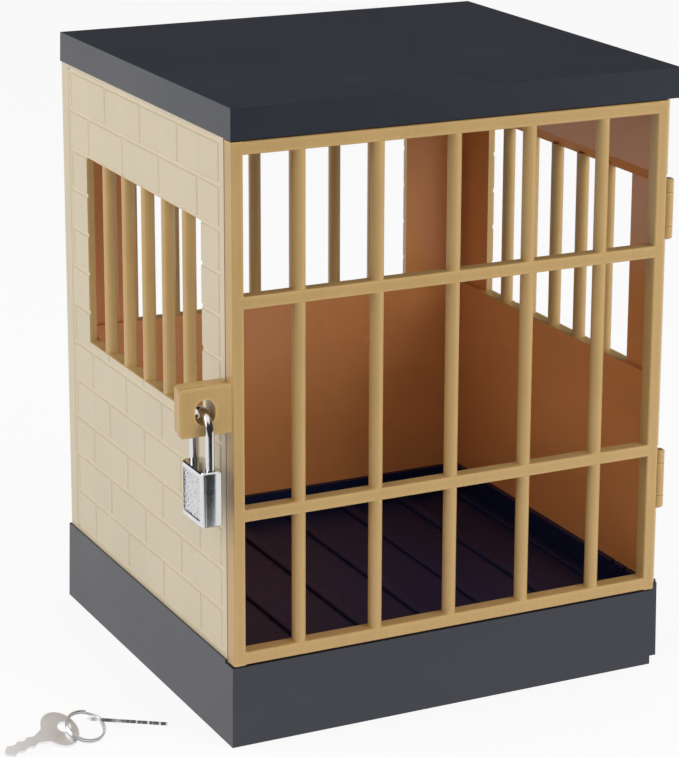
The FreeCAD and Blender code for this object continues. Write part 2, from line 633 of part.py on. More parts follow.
def lock_shackle():
    """Bent round bar with a long heel leg and a short toe leg notched for the bolt."""
    crown = Part.makeTorus(CROWN_R, SHACKLE_R, V(LOCK_X, LOCK_Y, CROWN_Z), V(1, 0, 0))
    wide = CROWN_R + SHACKLE_R + OVER
    below = box(LOCK_X - wide, LOCK_X + wide, LOCK_Y - wide, LOCK_Y + wide,
                CROWN_Z - wide, CROWN_Z)
    crown = crown.cut(below)
    legs = []
    for y, foot in ((TOE_Y, TOE_Z), (HEEL_Y, HEEL_Z)):
        leg = rod(LOCK_X, y, foot, CROWN_Z, SHACKLE_R)
        end = [e for e in leg.Edges if len(e.Vertexes) == 1 and e.Vertexes[0].Z < foot + NUDGE]
        legs.append(leg.makeChamfer(LEG_CHAMFER, end))
    notch = box(LOCK_X - SHACKLE_R - OVER, LOCK_X + SHACKLE_R + OVER, TOE_IN_Y - NOTCH_D, TOE_IN_Y + OVER,
                NOTCH_FOOT_Z, BOLT_TOP_Z + 2 * BOLT_GAP)
    return cut(fused([crown] + legs), [notch])


def lock_case():
    """Outer form of the padlock case with its soft edges, before it is split and hollowed."""
    case = box(LOCK_X - LOCK_T / 2, LOCK_X + LOCK_T / 2, LOCK_Y - LOCK_W / 2, LOCK_Y + LOCK_W / 2,
               LOCK_FOOT_Z, LOCK_TOP_Z)
    case = case.makeFillet(LOCK_EDGE_R, edges_along(case, V(0, 0, 1)))
    ends = [e for e in case.Edges if abs(e.Vertexes[0].Z - e.Vertexes[-1].Z) < TINY]
    return case.makeChamfer(LOCK_END_CHAMFER, ends)


def rivet_places():
    """Y and Z of the four rivets on each broad face."""
    y = LOCK_W / 2 - RIVET_INSET_Y
    return [(LOCK_Y + sy * y, z) for sy in (-1, 1)
            for z in (LOCK_FOOT_Z + RIVET_INSET_Z, LOCK_TOP_Z - RIVET_INSET_Z)]


def side_span(a, b):
    """Two positions in rising order."""
    return min(a, b), max(a, b)


def lock_shell(side):
    """One half of the riveted case: side -1 is the outward face, 1 the face at the cabinet."""
    x_face = LOCK_X + side * LOCK_T / 2
    x0, x1 = side_span(LOCK_X, x_face + side)
    half = box(x0, x1, LOCK_Y - LOCK_W, LOCK_Y + LOCK_W, LOCK_FOOT_Z - OVER, LOCK_TOP_Z + OVER)
    shell = lock_case().common(half)
    room_x = LOCK_T / 2 - SHELL_T
    room_y = LOCK_W / 2 - SHELL_EDGE_T
    tools = [box(LOCK_X - room_x, LOCK_X + room_x, LOCK_Y - room_y, LOCK_Y + room_y,
                 ROOM_Z0, ROOM_Z1)]
    r0, r1 = side_span(x_face - side * FACE_RECESS, x_face + side)
    tools.append(soft_box(r0, r1, LOCK_Y - LOCK_W / 2 + FACE_BORDER,
                          LOCK_Y + LOCK_W / 2 - FACE_BORDER, LOCK_FOOT_Z + FACE_BORDER,
                          LOCK_TOP_Z - FACE_BORDER, FACE_CORNER_R, V(1, 0, 0)))
    for y in (TOE_Y, HEEL_Y):
        tools.append(rod(LOCK_X, y, ROOM_Z1 - OVER, LOCK_TOP_Z + OVER, SHACKLE_R + LEG_FIT))
    tools.append(rod(LOCK_X, LOCK_Y, LOCK_FOOT_Z - OVER, ROOM_Z0 + OVER, PLUG_NOSE_R + LEG_FIT))
    for y, z in rivet_places():
        tools.append(Part.makeCylinder(RIVET_R + PRESS_FIT, LOCK_T, V(LOCK_X, y, z), V(side, 0, 0)))
    return cut(shell, tools)


def lock_rivets():
    """Eight short rivets with flat heads, four in each broad wall of the case."""
    rivets = []
    for side in (-1, 1):
        seat = LOCK_X + side * (LOCK_T / 2 - FACE_RECESS)
        tail = LOCK_X + side * (LOCK_T / 2 - SHELL_T)
        for y, z in rivet_places():
            shank = Part.makeCylinder(RIVET_R, abs(seat - tail) + NUDGE, V(tail, y, z), V(side, 0, 0))
            head = Part.makeCone(RIVET_HEAD_R, RIVET_TOP_R, RIVET_HEAD_H,
                                 V(seat, y, z), V(side, 0, 0))
            rivets.append(fused([shank, head]))
    return Part.makeCompound(rivets)


def lock_core():
    """Block inside the case with the leg bores, the plug bore and the bolt channel."""
    half_x = CORE_T / 2
    half_y = CORE_W / 2
    core = box(LOCK_X - half_x, LOCK_X + half_x, LOCK_Y - half_y, LOCK_Y + half_y, CORE_Z0, CORE_Z1)
    bolt_z0 = BOLT_Z - BOLT_GAP
    bolt_z1 = BOLT_TOP_Z + BOLT_GAP
    nose = BOLT_NOSE_W / 2 + BOLT_GAP
    tools = [
        rod(LOCK_X, TOE_Y, TOE_Z - BOLT_GAP, CORE_Z1 + OVER, SHACKLE_R + LEG_FIT),
        rod(LOCK_X, HEEL_Y, CORE_Z0 + HEEL_FLOOR, CORE_Z1 + OVER, SHACKLE_R + LEG_FIT),
        rod(LOCK_X, LOCK_Y, CORE_Z0 - OVER, bolt_z0 + NUDGE, PLUG_R + PIN_FIT),
        box(LOCK_X - half_x - OVER, LOCK_X + half_x + OVER, CHANNEL_Y0, CHANNEL_Y1, bolt_z0, bolt_z1),
        box(LOCK_X - nose, LOCK_X + nose, TOE_Y, CHANNEL_Y0 + NUDGE, bolt_z0, bolt_z1),
    ]
    return cut(core, tools)


def keyway(z0, z1):
    """Slot that takes the key blade, along the plug."""
    half_w = PLUG_NOSE_R - KEYWAY_WALL
    half_t = KEY_T / 2 + KEYWAY_GAP
    return box(LOCK_X - half_t, LOCK_X + half_t, LOCK_Y - half_w, LOCK_Y + half_w, z0, z1)


def wafer_room(i, grow):
    """Block of one wafer, or of its slot when it grows."""
    z = CORE_Z0 + WAFER_START + i * WAFER_PITCH
    half_x = WAFER_HALF_X + grow
    half_y = WAFER_HALF_Y + grow
    return box(LOCK_X - half_x, LOCK_X + half_x, LOCK_Y - half_y, LOCK_Y + half_y,
               z - grow, z + WAFER_T + grow)


def lock_plug():
    """Turning plug with the keyway, wafer slots and the pin that drives the bolt."""
    top = BOLT_Z - BOLT_GAP
    body = rod(LOCK_X, LOCK_Y, CORE_Z0, top, PLUG_R)
    nose = rod(LOCK_X, LOCK_Y, LOCK_FOOT_Z + PLUG_FOOT, CORE_Z0 + OVER, PLUG_NOSE_R)
    pin = rod(CAM_X, CAM_Y, top - ROOT, BOLT_TOP_Z - BOLT_GAP, CAM_PIN_R)
    tools = [keyway(LOCK_FOOT_Z - OVER, top - KEYWAY_ROOF)]
    tools.extend(wafer_room(i, PRESS_FIT) for i in range(len(WAFER_WINDOWS)))
    return cut(fused([body, nose, pin]), tools)


def lock_wafers():
    """Thin wafers with a window for the key, standing where the key lifts them."""
    wafers = []
    half_t = KEY_T / 2 + KEYWAY_GAP
    for i, half_w in enumerate(WAFER_WINDOWS):
        wafer = wafer_room(i, 0.0)
        window = box(LOCK_X - half_t, LOCK_X + half_t, LOCK_Y - half_w, LOCK_Y + half_w,
                     wafer.BoundBox.ZMin - OVER, wafer.BoundBox.ZMax + OVER)
        wafers.append(cut(wafer, [window]))
    return Part.makeCompound(wafers)


def lock_bolt():
    """Sliding bolt: nose in the shackle's notch, slot for the plug's pin."""
    nose = BOLT_NOSE_W / 2
    wide = BOLT_PLATE_W / 2
    shape = fused([
        box(LOCK_X - nose, LOCK_X + nose, TOE_IN_Y - BOLT_BITE, TOE_IN_Y + OVER, BOLT_Z, BOLT_TOP_Z),
        box(LOCK_X - wide, LOCK_X + wide, TOE_IN_Y + BOLT_LEG_GAP, BOLT_BACK_Y, BOLT_Z, BOLT_TOP_Z),
    ])
    r = CAM_PIN_R + BOLT_GAP
    far = LOCK_X + CAM_ORBIT
    tools = [rod(x, CAM_Y, BOLT_Z - OVER, BOLT_TOP_Z + OVER, r) for x in (CAM_X, far)]
    tools.append(box(CAM_X, far, CAM_Y - r, CAM_Y + r, BOLT_Z - OVER, BOLT_TOP_Z + OVER))
    return cut(shape, [fused(tools)])


def shackle_spring():
    """Square-wire spring under the heel leg that lifts the shackle when the bolt lets go."""
    half = SPRING_WIRE_HALF
    foot = CORE_Z0 + HEEL_FLOOR + half + PRESS_FIT
    length = HEEL_Z - half - PRESS_FIT - foot
    pitch = length / SPRING_TURNS
    helix = Part.makeHelix(pitch, length, SPRING_R)
    out = V(half, 0, 0)
    rise = V(0, 1, pitch / (2 * math.pi * SPRING_R)).normalize().cross(V(-half, 0, 0))
    middle = V(SPRING_R, 0, 0)
    corners = [middle + out + rise, middle - out + rise, middle - out - rise, middle + out - rise]
    seat = Part.makePolygon(corners + [corners[0]])
    wire = Part.Wire(helix.Edges).makePipeShell([seat], True, True)
    wire.translate(V(LOCK_X, HEEL_Y, foot))
    return wire


def key_blank():
    """A flat key: tip at X 0, bow at X KEY_L, its blade along X and its face in XY."""
    bow_x = KEY_L - KEY_BOW_L / 2
    half_t = KEY_T / 2
    ellipse = Part.Ellipse(V(0, KEY_BOW_W / 2, 0), V(KEY_BOW_L / 2, 0, 0), V(0, 0, 0))
    bow = Part.Face(Part.Wire([ellipse.toShape()])).extrude(V(0, 0, KEY_T))
    bow.translate(V(bow_x, 0, -half_t))
    half = KEY_BLADE_W / 2
    blade = box(KEY_TIP_R, bow_x, -half, half, -half_t, half_t)
    tip = rod(KEY_TIP_R, 0, -half_t, half_t, KEY_TIP_R)
    start = KEY_L - KEY_BOW_L - KEY_SHOULDER
    neck = prism([V(start, -half, -half_t), V(bow_x, -half - KEY_SHOULDER_W, -half_t),
                  V(bow_x, half + KEY_SHOULDER_W, -half_t), V(start, half, -half_t)], V(0, 0, KEY_T))
    bites = [rod(u, side * (half - KEY_BITE_D + KEY_BITE_R), -1, 1, KEY_BITE_R)
             for u in KEY_BITES for side in (-1, 1)]
    hole = rod(KEY_L - KEY_HOLE_IN, 0, -1, 1, KEY_HOLE_R)
    return cut(fused([bow, blade, tip, neck]), bites + [hole])


def ring_point(angle_deg):
    """Point of the ring's wire, counted from its side direction towards its raised side."""
    a = math.radians(angle_deg)
    side = V(*RING_SIDE).normalize()
    up = V(*RING_UP).normalize()
    return V(*RING_CENTRE) + side * (RING_R * math.cos(a)) + up * (RING_R * math.sin(a))


def key_ring():
    """Split ring: two turns of round wire lying on each other."""
    turns = [Part.makeTorus(RING_R, RING_WIRE_R, V(0, 0, z), V(0, 0, 1))
             for z in (-RING_HALF, RING_HALF)]
    ring = fused(turns)
    side = V(*RING_SIDE).normalize()
    up = V(*RING_UP).normalize()
    turn = FreeCAD.Rotation(side, up, side.cross(up), "ZXY")
    ring.Placement = FreeCAD.Placement(V(*RING_CENTRE), turn)
    return ring


def key_on_ring(pose):
    """A key whose bow hole holds the ring at one angle."""
    angle, to_tip, face, shift = pose
    key = key_blank()
    back = V(*to_tip).normalize() * -1
    across = V(*face).cross(back).normalize()
    turn = FreeCAD.Rotation(back, across, back.cross(across), "ZXY")
    hole = turn.multVec(V(KEY_L - KEY_HOLE_IN, 0, 0))
    key.Placement = FreeCAD.Placement(ring_point(angle) + V(*shift) - hole, turn)
    return key


def save(name, shape):
    """Write one node."""
    if not shape.Solids or not shape.isValid():
        raise ValueError(name + " is not a valid solid")
    shape.exportStep("parts/" + name + ".step")


def main():
    os.makedirs("parts", exist_ok=True)
    save("base_plinth", base_plinth())
    save("base_cover", base_cover())
    save("base_screws", base_screws())
    save("left_panel", left_panel())
    save("right_panel", right_panel())
    save("back_panel", back_panel())
    save("roof", roof())
    save("door_grille", door_grille())
    for name, hz in zip(("hinge_pin_lower", "hinge_pin_upper"), HINGE_ZS):
        save(name, hinge_pin(hz))
    save("lock_shackle", lock_shackle())
    save("lock_shell_outer", lock_shell(-1))
    save("lock_shell_inner", lock_shell(1))
    save("lock_core", lock_core())
    save("lock_rivets", lock_rivets())
    save("lock_plug", lock_plug())
    save("lock_wafers", lock_wafers())
    save("lock_bolt", lock_bolt())
    save("shackle_spring", shackle_spring())
    save("key_ring", key_ring())
    save("key_leaning", key_on_ring(KEY_LEANING))
    save("key_lying", key_on_ring(KEY_LYING))


main()
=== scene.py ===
"""Dresses the padlocked cell-shaped lock box: moulded plastic cabinet, nickelled padlock,
two keys on a split ring, and a plain white table with soft light."""

import bpy
import math
from mathutils import Matrix, Vector


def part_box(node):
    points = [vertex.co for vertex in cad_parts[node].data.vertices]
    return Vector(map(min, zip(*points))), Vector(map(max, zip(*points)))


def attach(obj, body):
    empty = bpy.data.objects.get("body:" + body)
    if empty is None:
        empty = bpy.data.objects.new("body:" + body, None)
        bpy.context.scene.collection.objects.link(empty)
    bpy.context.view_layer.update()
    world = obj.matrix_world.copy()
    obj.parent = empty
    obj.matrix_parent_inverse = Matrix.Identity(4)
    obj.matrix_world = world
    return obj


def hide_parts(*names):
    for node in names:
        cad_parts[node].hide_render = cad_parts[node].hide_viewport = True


bl_info = {
    "name": "Cell lock box",
    "version": (1, 0, 0),
    "blender": (4, 5, 0),
    "location": "View3D > Sidebar > Lock box",
    "description": "Builds the looks of a barred lock box with its padlock and keys",
    "category": "Object",
}

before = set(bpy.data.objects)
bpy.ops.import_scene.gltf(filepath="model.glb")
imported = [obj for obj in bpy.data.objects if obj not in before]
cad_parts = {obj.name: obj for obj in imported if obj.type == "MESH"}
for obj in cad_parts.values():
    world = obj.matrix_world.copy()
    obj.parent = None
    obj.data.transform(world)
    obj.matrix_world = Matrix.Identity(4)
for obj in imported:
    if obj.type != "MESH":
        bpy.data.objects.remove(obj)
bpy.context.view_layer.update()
MM = 0.001

# Panels: outer faces and front edge
HALF_W = 76.85 * MM
BACK_Y = 69.85 * MM
PANEL_Y = -64.25 * MM
# Brick field of the panels, as moulded
BRICK_L = 30.1 * MM
BRICK_H = 13.3 * MM
BRICK_Z0 = 28.35 * MM
FIRST_BRICK = 4.8 * MM    # first upright joint behind a panel's edge
BRICK_SHADES = 0.37       # picks which bricks come out lighter
# Windows: foot and height, then the middle and half width of each kind
SILL_Z = 98.0 * MM
WINDOW_H = 63.0 * MM
SIDE_WINDOW = (0.6 * MM, 47.65 * MM)
BACK_WINDOW = (0.0, 51.75 * MM)
# How deep the painted pale sheen reaches behind an outer face and behind an end of a panel
SHEEN_FACE = 0.6 * MM
SHEEN_END = 0.2 * MM
JOINT_HALF = 0.26 * MM    # half of the depth in the outer layer where a joint's floor can lie
WINDOW_EDGE = 0.25 * MM   # the bare gold runs this far past a window's edges
PROUD = 0.3 * MM          # the ear and the knuckles stand further out than this

# Where the plinth's deck and lip stand inside the walls
FLOOR_X = 72.2 * MM
FLOOR_Y = (PANEL_Y - 0.15 * MM, 65.3 * MM)
FLOOR_Z = 21.0 * MM
# The floor's navy is painted light: a blue cast on the black plastic for light falling in through
# the windows
FLOOR_BLUE_CAST = "#1a2242"

# Moulded ABS
ABS_IOR = 1.53
DOOR_GRAIN = 0.03 * MM    # depth of the door's streaks
BLACK_GRAIN = 0.02 * MM   # depth of the roof's and plinth's skin
EDGE_REACH = 1.8 * MM     # the door's edges get a painted highlight within this
MOULD_EDGE = 0.25 * MM    # rounding of the moulded edges
KEY_EDGE = 0.15 * MM      # rounding of the stamped keys

# Nickel plate: lowest brightness of the plate and lowest roughness
BRIGHT = (0.93, 0.07)
SATIN = (1.12, 0.24)
METAL_GRAIN = 0.1 * MM    # depth of a relief of 1
DIMPLE_DEEP = 3.4         # the padlock's dimples, in that relief
CROWN_RISE = 3.0          # the crown of its narrow sides, in that relief
CROWN_HALF = 2.0 * MM     # from the crown's middle to the side's rounding
# Padlock case: middle, then half of its sunk field, and the field's depth in X
LOCK_MIDDLE = (-85.15 * MM, -65.65 * MM, 82.4 * MM)
FIELD_HALF = (6.3 * MM, 6.9 * MM)
FIELD_X = 3.2 * MM
FIELD_PLAY = 0.12 * MM
LOCK_SIDE_Y = 7.95 * MM   # the narrow sides start here

# Inner metals: name, colour, roughness, tool lines on a metre, and the nodes that have it
WORKED_METALS = (
    # Zinc plate: an even, cool and half dull grey
    ("Zinc plated steel", "#a9adb2", 0.38, 900.0, ("base_screws", "lock_core", "lock_bolt")),
    # Drawn rod: a brighter grey with finer lines
    ("Bright drawn steel", "#b9babc", 0.26, 1500.0, ("hinge_pin_lower", "hinge_pin_upper")),
    # Brass from the lathe: warm yellow with very fine lines
    ("Turned brass", "#c9a154", 0.30, 2500.0, ("lock_plug", "lock_wafers")),
    # Spring wire: a darker, half dull grey
    ("Drawn spring wire", "#8d8e91", 0.35, 3000.0, ("shackle_spring",)),
)

# Split ring and rivets, at rest
RING_CENTRE = Vector((-115.6, -43.6, 3.68)) * MM
RING_UP = Vector((-0.25, 0.86, 0.45)).normalized()
RING_SIDE = Vector((0.96, 0.28, 0.0)).normalized()
RING_TURNS = 1.84
RING_STEP = 0.044         # half of the step between the turns, as a share of the wire's length
RING_PITCH = 0.78 * MM
RIVET_BOX_R = 1.0 * MM    # head radius of the solid rivets
SHANK_R = 0.6 * MM
SHANK_L = 0.5 * MM

# Table edges in metres, the white it is painted, and the share of pure white it shows
TABLE_FRONT = -0.25
TABLE_TURN = 0.05         # from here the front edge runs off to the front right at 45 degrees
TABLE_BACK = 3.0
TABLE_SIDE = 2.0
TABLE_WHITE = 0.95
TABLE_GLOW = 0.88

# Room as mirrors see it. Each pair is where a part of it starts and ends, as a component of
# the direction looked in: the top of the white backdrop, its nearer side, the white ceiling
ROOM_DARK = 0.03
BACKDROP_TOP = (0.02, 0.06)
BACKDROP_NEAR = (0.0, 0.3)
CEILING_EDGE = (0.64, 0.76)

# Lamps, in metres
SIDE_LIGHT = (-0.75, 0.05, 0.55)
FRONT_LIGHT = (0.55, -0.80, 0.45)
LIGHT_AIM = (0.0, 0.0, 0.10)
LIGHT_SIZE = 0.7

# Camera: place in metres; azimuth, elevation and roll in degrees; then the photograph's size
# and the point in it that the camera faces, in pixels
CAMERA_PLACE = (-0.38995, -0.78390, 0.35821)
CAMERA_ANGLES = (27.08, 14.76, 0.46)
SENSOR_MM = 36.0
CLIP_RANGE = (0.05, 30.0)
PHOTO_W, PHOTO_H = 679, 757
FACED_X, FACED_Y = 390.0, 265.0


def linear(hex_colour):
    """A scene-linear colour from an sRGB hex value."""
    out = []
    for i in (1, 3, 5):
        c = int(hex_colour[i:i + 2], 16) / 255
        out.append(c / 12.92 if c <= 0.04045 else ((c + 0.055) / 1.055) ** 2.4)
    return (out[0], out[1], out[2], 1.0)


def linear3(hex_colour):
    """The same colour without alpha, for a property's default."""
    return linear(hex_colour)[:3]


class CellBoxPlastics(bpy.types.PropertyGroup):
    """Colours and finish of the moulded cabinet."""

    # Painted sheen: the outer faces' pale tan is the side light's sheen on the plastic, painted in
    outer_sheen_tan: bpy.props.FloatVectorProperty(
        name="Wall outside", description="Pale tan wash on the outer brick faces",
        subtype="COLOR", size=3, min=0, max=1, default=linear3("#cfc1a5"))
    # Painted light: the deeper orange inside is bounce light and light shining through the
    # plastic, painted in
    inner_bounce_orange: bpy.props.FloatVectorProperty(
        name="Wall inside", description="Bare golden tan plastic inside the cabinet",
        subtype="COLOR", size=3, min=0, max=1, default=linear3("#de9558"))
    door_gold: bpy.props.FloatVectorProperty(
        name="Door", description="Golden tan of the barred door",
        subtype="COLOR", size=3, min=0, max=1, default=linear3("#be9c65"))
    black: bpy.props.FloatVectorProperty(
        name="Roof and plinth", description="Blue-black plastic of roof and plinth",
        subtype="COLOR", size=3, min=0, max=1, default=linear3("#2b2e38"))
    wall_roughness: bpy.props.FloatProperty(
        name="Wall roughness", description="Sheen of the tan plastic, lower is glossier",
        min=0.05, max=1, default=0.40)
    grain_depth: bpy.props.FloatProperty(
        name="Grain depth", description="Depth of the fine upright grain on the bricks",
        unit="LENGTH", min=0, max=0.001, default=0.00008)


class CellBoxHardware(bpy.types.PropertyGroup):
    """Sizes and colours of the padlock, the keys and the ring."""

    nickel: bpy.props.FloatVectorProperty(
        name="Nickel", description="Nickel plate of padlock, ring and keys",
        subtype="COLOR", size=3, min=0, max=1, default=linear3("#dddddf"))
    rivet_radius: bpy.props.FloatProperty(
        name="Rivet head radius", description="Radius of a domed rivet head",
        unit="LENGTH", min=0.0003, max=0.002, default=1.0 * MM)
    rivet_height: bpy.props.FloatProperty(
        name="Rivet head height", description="Height of a domed rivet head over the plate",
        unit="LENGTH", min=0.0001, max=0.001, default=0.25 * MM)
    ring_radius: bpy.props.FloatProperty(
        name="Ring radius", description="Middle radius of the split ring's wire",
        unit="LENGTH", min=0.003, max=0.02, default=6.0 * MM)
    ring_wire: bpy.props.FloatProperty(
        name="Ring wire", description="Radius of the split ring's wire",
        unit="LENGTH", min=0.0002, max=0.001, default=0.41 * MM)


class CellBoxStage(bpy.types.PropertyGroup):
    """Table, light and camera."""

    lens: bpy.props.FloatProperty(
        name="Lens", description="Focal length of the camera in millimetres",
        min=10, max=400, default=130.83)
    key_power: bpy.props.FloatProperty(
        name="Side light", description="Power of the big soft light on the padlock side",
        subtype="POWER", unit="POWER", min=0, max=500, default=3.2)
    front_power: bpy.props.FloatProperty(
        name="Front light", description="Power of the soft light at the front right",
        subtype="POWER", unit="POWER", min=0, max=500, default=5.5)
    world_level: bpy.props.FloatProperty(
        name="Room light", description="Strength of the even light from all round",
        min=0, max=2, default=0.50)


def plastics():
    """The cabinet's property group."""
    return bpy.context.scene.cell_box_plastics


def hardware():
    """The hardware's property group."""
    return bpy.context.scene.cell_box_hardware


def stage_props():
    """The stage's property group."""
    return bpy.context.scene.cell_box_stage


def put(tree, kind, inputs=None, **settings):
    """Adds a node, sets its fields and feeds its inputs with values or other sockets."""
    node = tree.nodes.new(kind)
    for name, value in settings.items():
        setattr(node, name, value)
    for key, value in (inputs or {}).items():
        socket = node.inputs[key]
        if isinstance(value, bpy.types.NodeSocket):
            tree.links.new(value, socket)
        else:
            socket.default_value = value
    return node


def new_material(name):
    """An empty node material and its tree."""
    material = bpy.data.materials.new(name)
    material.use_nodes = True
    material.node_tree.nodes.clear()
    return material, material.node_tree


def close_material(tree, surface):
    """Ends a tree in its output."""
    put(tree, "ShaderNodeOutputMaterial", {"Surface": surface.outputs[0]})


def close_principled(tree, inputs):
    """Ends a tree in a Principled surface with these inputs."""
    close_material(tree, put(tree, "ShaderNodeBsdfPrincipled", inputs))


def maths(tree, operation, a, b=None, c=None):
    """One step of arithmetic; gives its result."""
    inputs = {0: a}
    if b is not None:
        inputs[1] = b
    if c is not None:
        inputs[2] = c
    return put(tree, "ShaderNodeMath", inputs, operation=operation).outputs[0]


def plus(tree, start, *parts):
    """A start value, to which each pair of a value and its share is added."""
    for value, share in parts:
        start = maths(tree, "MULTIPLY_ADD", value, share, start)
    return start


def distance(tree, value, middle):
    """How far a value lies from a middle, either way."""
    return maths(tree, "ABSOLUTE", maths(tree, "SUBTRACT", value, middle))


def ramp(tree, value, span, low=0.0, high=1.0, smooth=False):
    """Goes from low to high while a value goes through a span, and stays there outside it."""
    return put(tree, "ShaderNodeMapRange", {0: value, 1: span[0], 2: span[1], 3: low, 4: high},
               interpolation_type="SMOOTHSTEP" if smooth else "LINEAR").outputs[0]


def mixed(tree, factor, low, high):
    """A value between two, by a factor."""
    return put(tree, "ShaderNodeMix", {0: factor, 2: low, 3: high}).outputs[0]


def tint(tree, factor, low, high):
    """A colour between two, by a factor."""
    node = put(tree, "ShaderNodeMix", {0: factor, 6: low, 7: high}, data_type="RGBA")
    return node.outputs[2]


def scaled(tree, colour, level):
    """A colour made lighter or darker by a level around 1."""
    node = put(tree, "ShaderNodeVectorMath", {0: colour, "Scale": level}, operation="SCALE")
    return node.outputs[0]


def object_place(tree):
    """The place on the part, in metres."""
    return put(tree, "ShaderNodeTexCoord").outputs["Object"]


def parted(tree, place):
    """X, Y and Z of a place."""
    axes = put(tree, "ShaderNodeSeparateXYZ", {0: place})
    return axes.outputs[0], axes.outputs[1], axes.outputs[2]


def joined(tree, x=0.0, y=0.0, z=0.0):
    """A place from X, Y and Z."""
    return put(tree, "ShaderNodeCombineXYZ", {0: x, 1: y, 2: z}).outputs[0]


def noise(tree, place, per_metre, detail, **more):
    """Soft patches, so many on a metre."""
    inputs = {"Vector": place, "Scale": per_metre, "Detail": detail, **more}
    return put(tree, "ShaderNodeTexNoise", inputs).outputs[0]


def streaks(tree, place, per_metre, detail, **more):
    """Patches drawn out into lines: so many on a metre along X, Y and Z."""
    drawn = put(tree, "ShaderNodeVectorMath", {0: place, 1: per_metre}, operation="MULTIPLY")
    return noise(tree, drawn.outputs[0], 1.0, detail, **more)


def bumped(tree, relief, depth, strength):
    """A normal for a relief, of which 1 stands for a depth in metres."""
    inputs = {"Height": relief, "Distance": depth, "Strength": strength}
    return put(tree, "ShaderNodeBump", inputs).outputs[0]


def near_edge(tree, reach):
    """1 on a sharp or rounded edge, falling to 0 within a reach of it."""
    rounded = put(tree, "ShaderNodeBevel", {"Radius": reach}, samples=6).outputs[0]
    straight = put(tree, "ShaderNodeNewGeometry").outputs["Normal"]
    facing = put(tree, "ShaderNodeVectorMath", {0: rounded, 1: straight},
                 operation="DOT_PRODUCT").outputs["Value"]
    # Near an edge the rounded normal leans away from the face's own: 31 to 4 degrees
    return ramp(tree, facing, (0.86, 0.997), 1.0, 0.0)


def brick_level(tree, along, height):
    """A steady brightness for each brick, from 0 to 1."""
    courses = maths(tree, "DIVIDE", maths(tree, "SUBTRACT", height, BRICK_Z0), BRICK_H)
    row = maths(tree, "FLOOR", courses)
    # Every other row starts half a brick later; 20 keeps the count of rows above 0
    odd = maths(tree, "MODULO", maths(tree, "ADD", row, 20.0), 2.0)
    bricks = maths(tree, "DIVIDE", along, BRICK_L)
    start = maths(tree, "SUBTRACT", bricks, maths(tree, "MULTIPLY", odd, 0.5))
    seat = joined(tree, maths(tree, "FLOOR", start), row, BRICK_SHADES)
    return put(tree, "ShaderNodeTexWhiteNoise", {0: seat}).outputs[0]


def wall_plastic(name, window, back=False):
    """Tan ABS, injection moulded with an upright wood-like grain: satin faces that differ a little
    from brick to brick. Outside, a pale tan is painted on as a painted sheen of the side light;
    inside it is glossy, in a deeper orange gold that is painted bounce light and light shining
    through the plastic; the window bars, ear and knuckles have the door's gold."""
    material, tree = new_material(name)
    props = plastics()
    place = object_place(tree)
    x, y, z = parted(tree, place)
    out_x = maths(tree, "ABSOLUTE", x)
    if back:
        across = x
        along = maths(tree, "ADD", x, HALF_W - FIRST_BRICK)
        by_face = maths(tree, "SUBTRACT", y, BACK_Y - SHEEN_FACE)
        by_end = maths(tree, "SUBTRACT", out_x, HALF_W - SHEEN_END)
    else:
        across = y
        along = maths(tree, "SUBTRACT", y, PANEL_Y + FIRST_BRICK)
        by_face = maths(tree, "SUBTRACT", out_x, HALF_W - SHEEN_FACE)
        by_end = maths(tree, "SUBTRACT", PANEL_Y + SHEEN_END, y)
    outside = maths(tree, "GREATER_THAN", maths(tree, "MAXIMUM", by_face, by_end), 0.0)
    # The painted pale sheen stops at the window, the ear and the knuckles: they keep the door's
    # gold
    in_width = maths(tree, "LESS_THAN", distance(tree, across, window[0]), window[1] + WINDOW_EDGE)
    in_height = maths(tree, "COMPARE", z, SILL_Z + WINDOW_H / 2, WINDOW_H / 2 + WINDOW_EDGE)
    in_window = maths(tree, "MULTIPLY", in_width, in_height)
    beyond = maths(tree, "GREATER_THAN", out_x, HALF_W + PROUD)
    ahead = maths(tree, "LESS_THAN", y, PANEL_Y - PROUD)
    bare = maths(tree, "MAXIMUM", maths(tree, "MAXIMUM", in_window, beyond), ahead)
    brick = brick_level(tree, along, z)
    # Upright grain: 0.7 mm wide lines, 12 mm long
    grain = streaks(tree, joined(tree, across, 0.0, z), (1400.0, 1.0, 85.0), 3.0, Roughness=0.6)
    # Cloudy tone, patches about 25 mm across
    cloud = noise(tree, place, 40.0, 4.0)
    level = plus(tree, 0.86, (brick, 0.04), (cloud, 0.14), (grain, 0.10))
    # Painted light: the joints are painted paler, to take out the shade that falls in their
    # grooves
    joints_painted_lit = maths(tree, "COMPARE", by_face, JOINT_HALF, JOINT_HALF)
    level = plus(tree, level, (joints_painted_lit, 0.07))
    # Painted light: the pale outer tan is a painted sheen of the side light; the deeper orange
    # inside is painted bounce light and light through the plastic
    base = tint(tree, outside, (*props.inner_bounce_orange, 1.0), (*props.outer_sheen_tan, 1.0))
    base = tint(tree, bare, base, (*props.door_gold, 1.0))
    # Moulding grit, 0.35 mm
    relief = plus(tree, grain, (noise(tree, place, 2800.0, 2.0), 0.25))
    # The inside is left glossy from the tool; the outer faces are 0.16 rougher
    rough = plus(tree, props.wall_roughness - 0.24, (outside, 0.16), (cloud, 0.16))
    close_principled(tree, {
        "Base Color": scaled(tree, base, level), "Roughness": rough, "IOR": ABS_IOR,
        "Normal": bumped(tree, relief, props.grain_depth, 0.8)})
    return material


